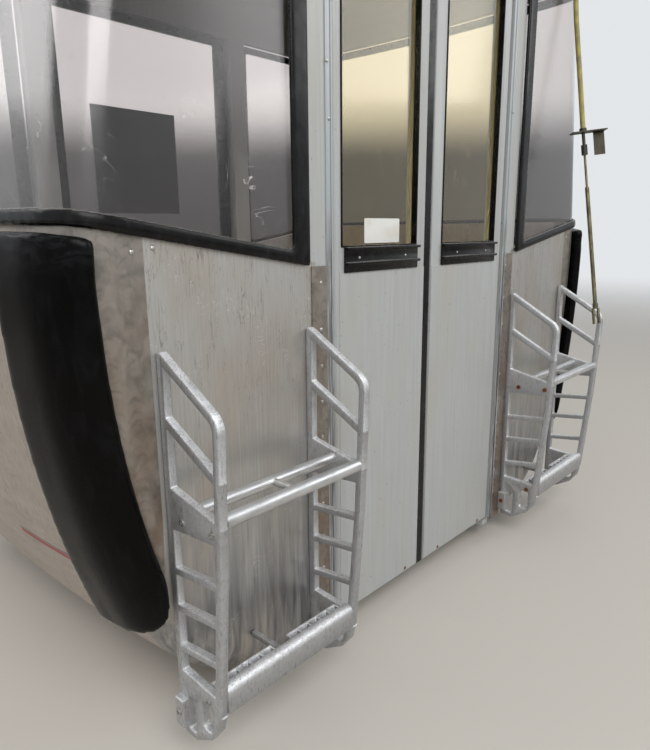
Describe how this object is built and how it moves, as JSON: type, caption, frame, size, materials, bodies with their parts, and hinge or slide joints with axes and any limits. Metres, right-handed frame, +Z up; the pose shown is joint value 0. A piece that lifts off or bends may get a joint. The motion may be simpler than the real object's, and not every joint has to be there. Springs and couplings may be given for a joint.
{
  "type": "cable car cabin",
  "caption": "Gondola cable car cabin with wrap-round tinted windows, hinged two-leaf door, corner bumpers, ski racks and a roof frame for the hanger.",
  "frame": {"origin": "middle of the hanger plate's top face, on the roof frame", "axes": "+Z up out of the hanger plate; -Y towards the door side; X along the door side"},
  "size_m": [2.371, 1.7452, 2.396],
  "materials": {
    "bare_aluminium": "brushed, weathered",
    "mottled_aluminium": "mottled mill finish",
    "white_paint": "satin grey-white",
    "black_plastic": "satin",
    "grey_plastic": "matt",
    "black_rubber": "satin",
    "tinted_glazing": "scratched",
    "door_glazing": "clear",
    "cast_aluminium": "sand cast, worn bright",
    "frame_steel": "galvanised grey",
    "zinc_steel": "dull",
    "yellow_sheath": "faded"
  },
  "bodies": {
    "cabin": {"back_panel": "bare_aluminium", "back_posts": "white_paint", "back_window": "tinted_glazing", "back_window_rubber": "black_rubber", "backrests": "grey_plastic", "benches": "grey_plastic", "bumpers": "black_plastic", "cable_clip": "frame_steel", "cable_fitting": "zinc_steel", "corner_strips": "mottled_aluminium", "cover_strips": "mottled_aluminium", "cross_sill": "frame_steel", "door_cable": "yellow_sheath", "door_posts": "white_paint", "door_sill": "white_paint", "end_wall_left": "bare_aluminium", "end_wall_right": "bare_aluminium", "end_window_left": "tinted_glazing", "end_window_right": "tinted_glazing", "end_window_rubber_left": "black_rubber", "end_window_rubber_right": "black_rubber", "floor_mat": "black_rubber", "floor_pan": "bare_aluminium", "front_panels": "bare_aluminium", "hanger_plate": "frame_steel", "notice_plate": "black_plastic", "rack_frames": "cast_aluminium", "rack_rails": "cast_aluminium", "rack_trays": "cast_aluminium", "roof_buffers": "black_rubber", "roof_frame": "frame_steel", "roof_shell": "white_paint", "top_rail": "white_paint"},
    "door_left": {"door_leaf_left": "white_paint", "door_ledge_left": "black_plastic", "door_pane_left": "door_glazing", "pane_gasket_left": "black_rubber", "seam_rubber": "black_rubber"},
    "door_right": {"door_leaf_right": "white_paint", "door_ledge_right": "black_plastic", "door_pane_right": "door_glazing", "pane_gasket_right": "black_rubber"}
  },
  "joints": [
    {"name": "door_right_hinge", "type": "hinge", "parent": "cabin", "child": "door_right", "pos_m": [0.422, -0.736, -1.326], "axis": [0, 0, 1], "range_deg": [0, 90]},
    {"name": "door_left_hinge", "type": "hinge", "parent": "cabin", "child": "door_left", "pos_m": [-0.422, -0.736, -1.326], "axis": [0, 0, -1], "range_deg": [0, 90]}
  ]
}
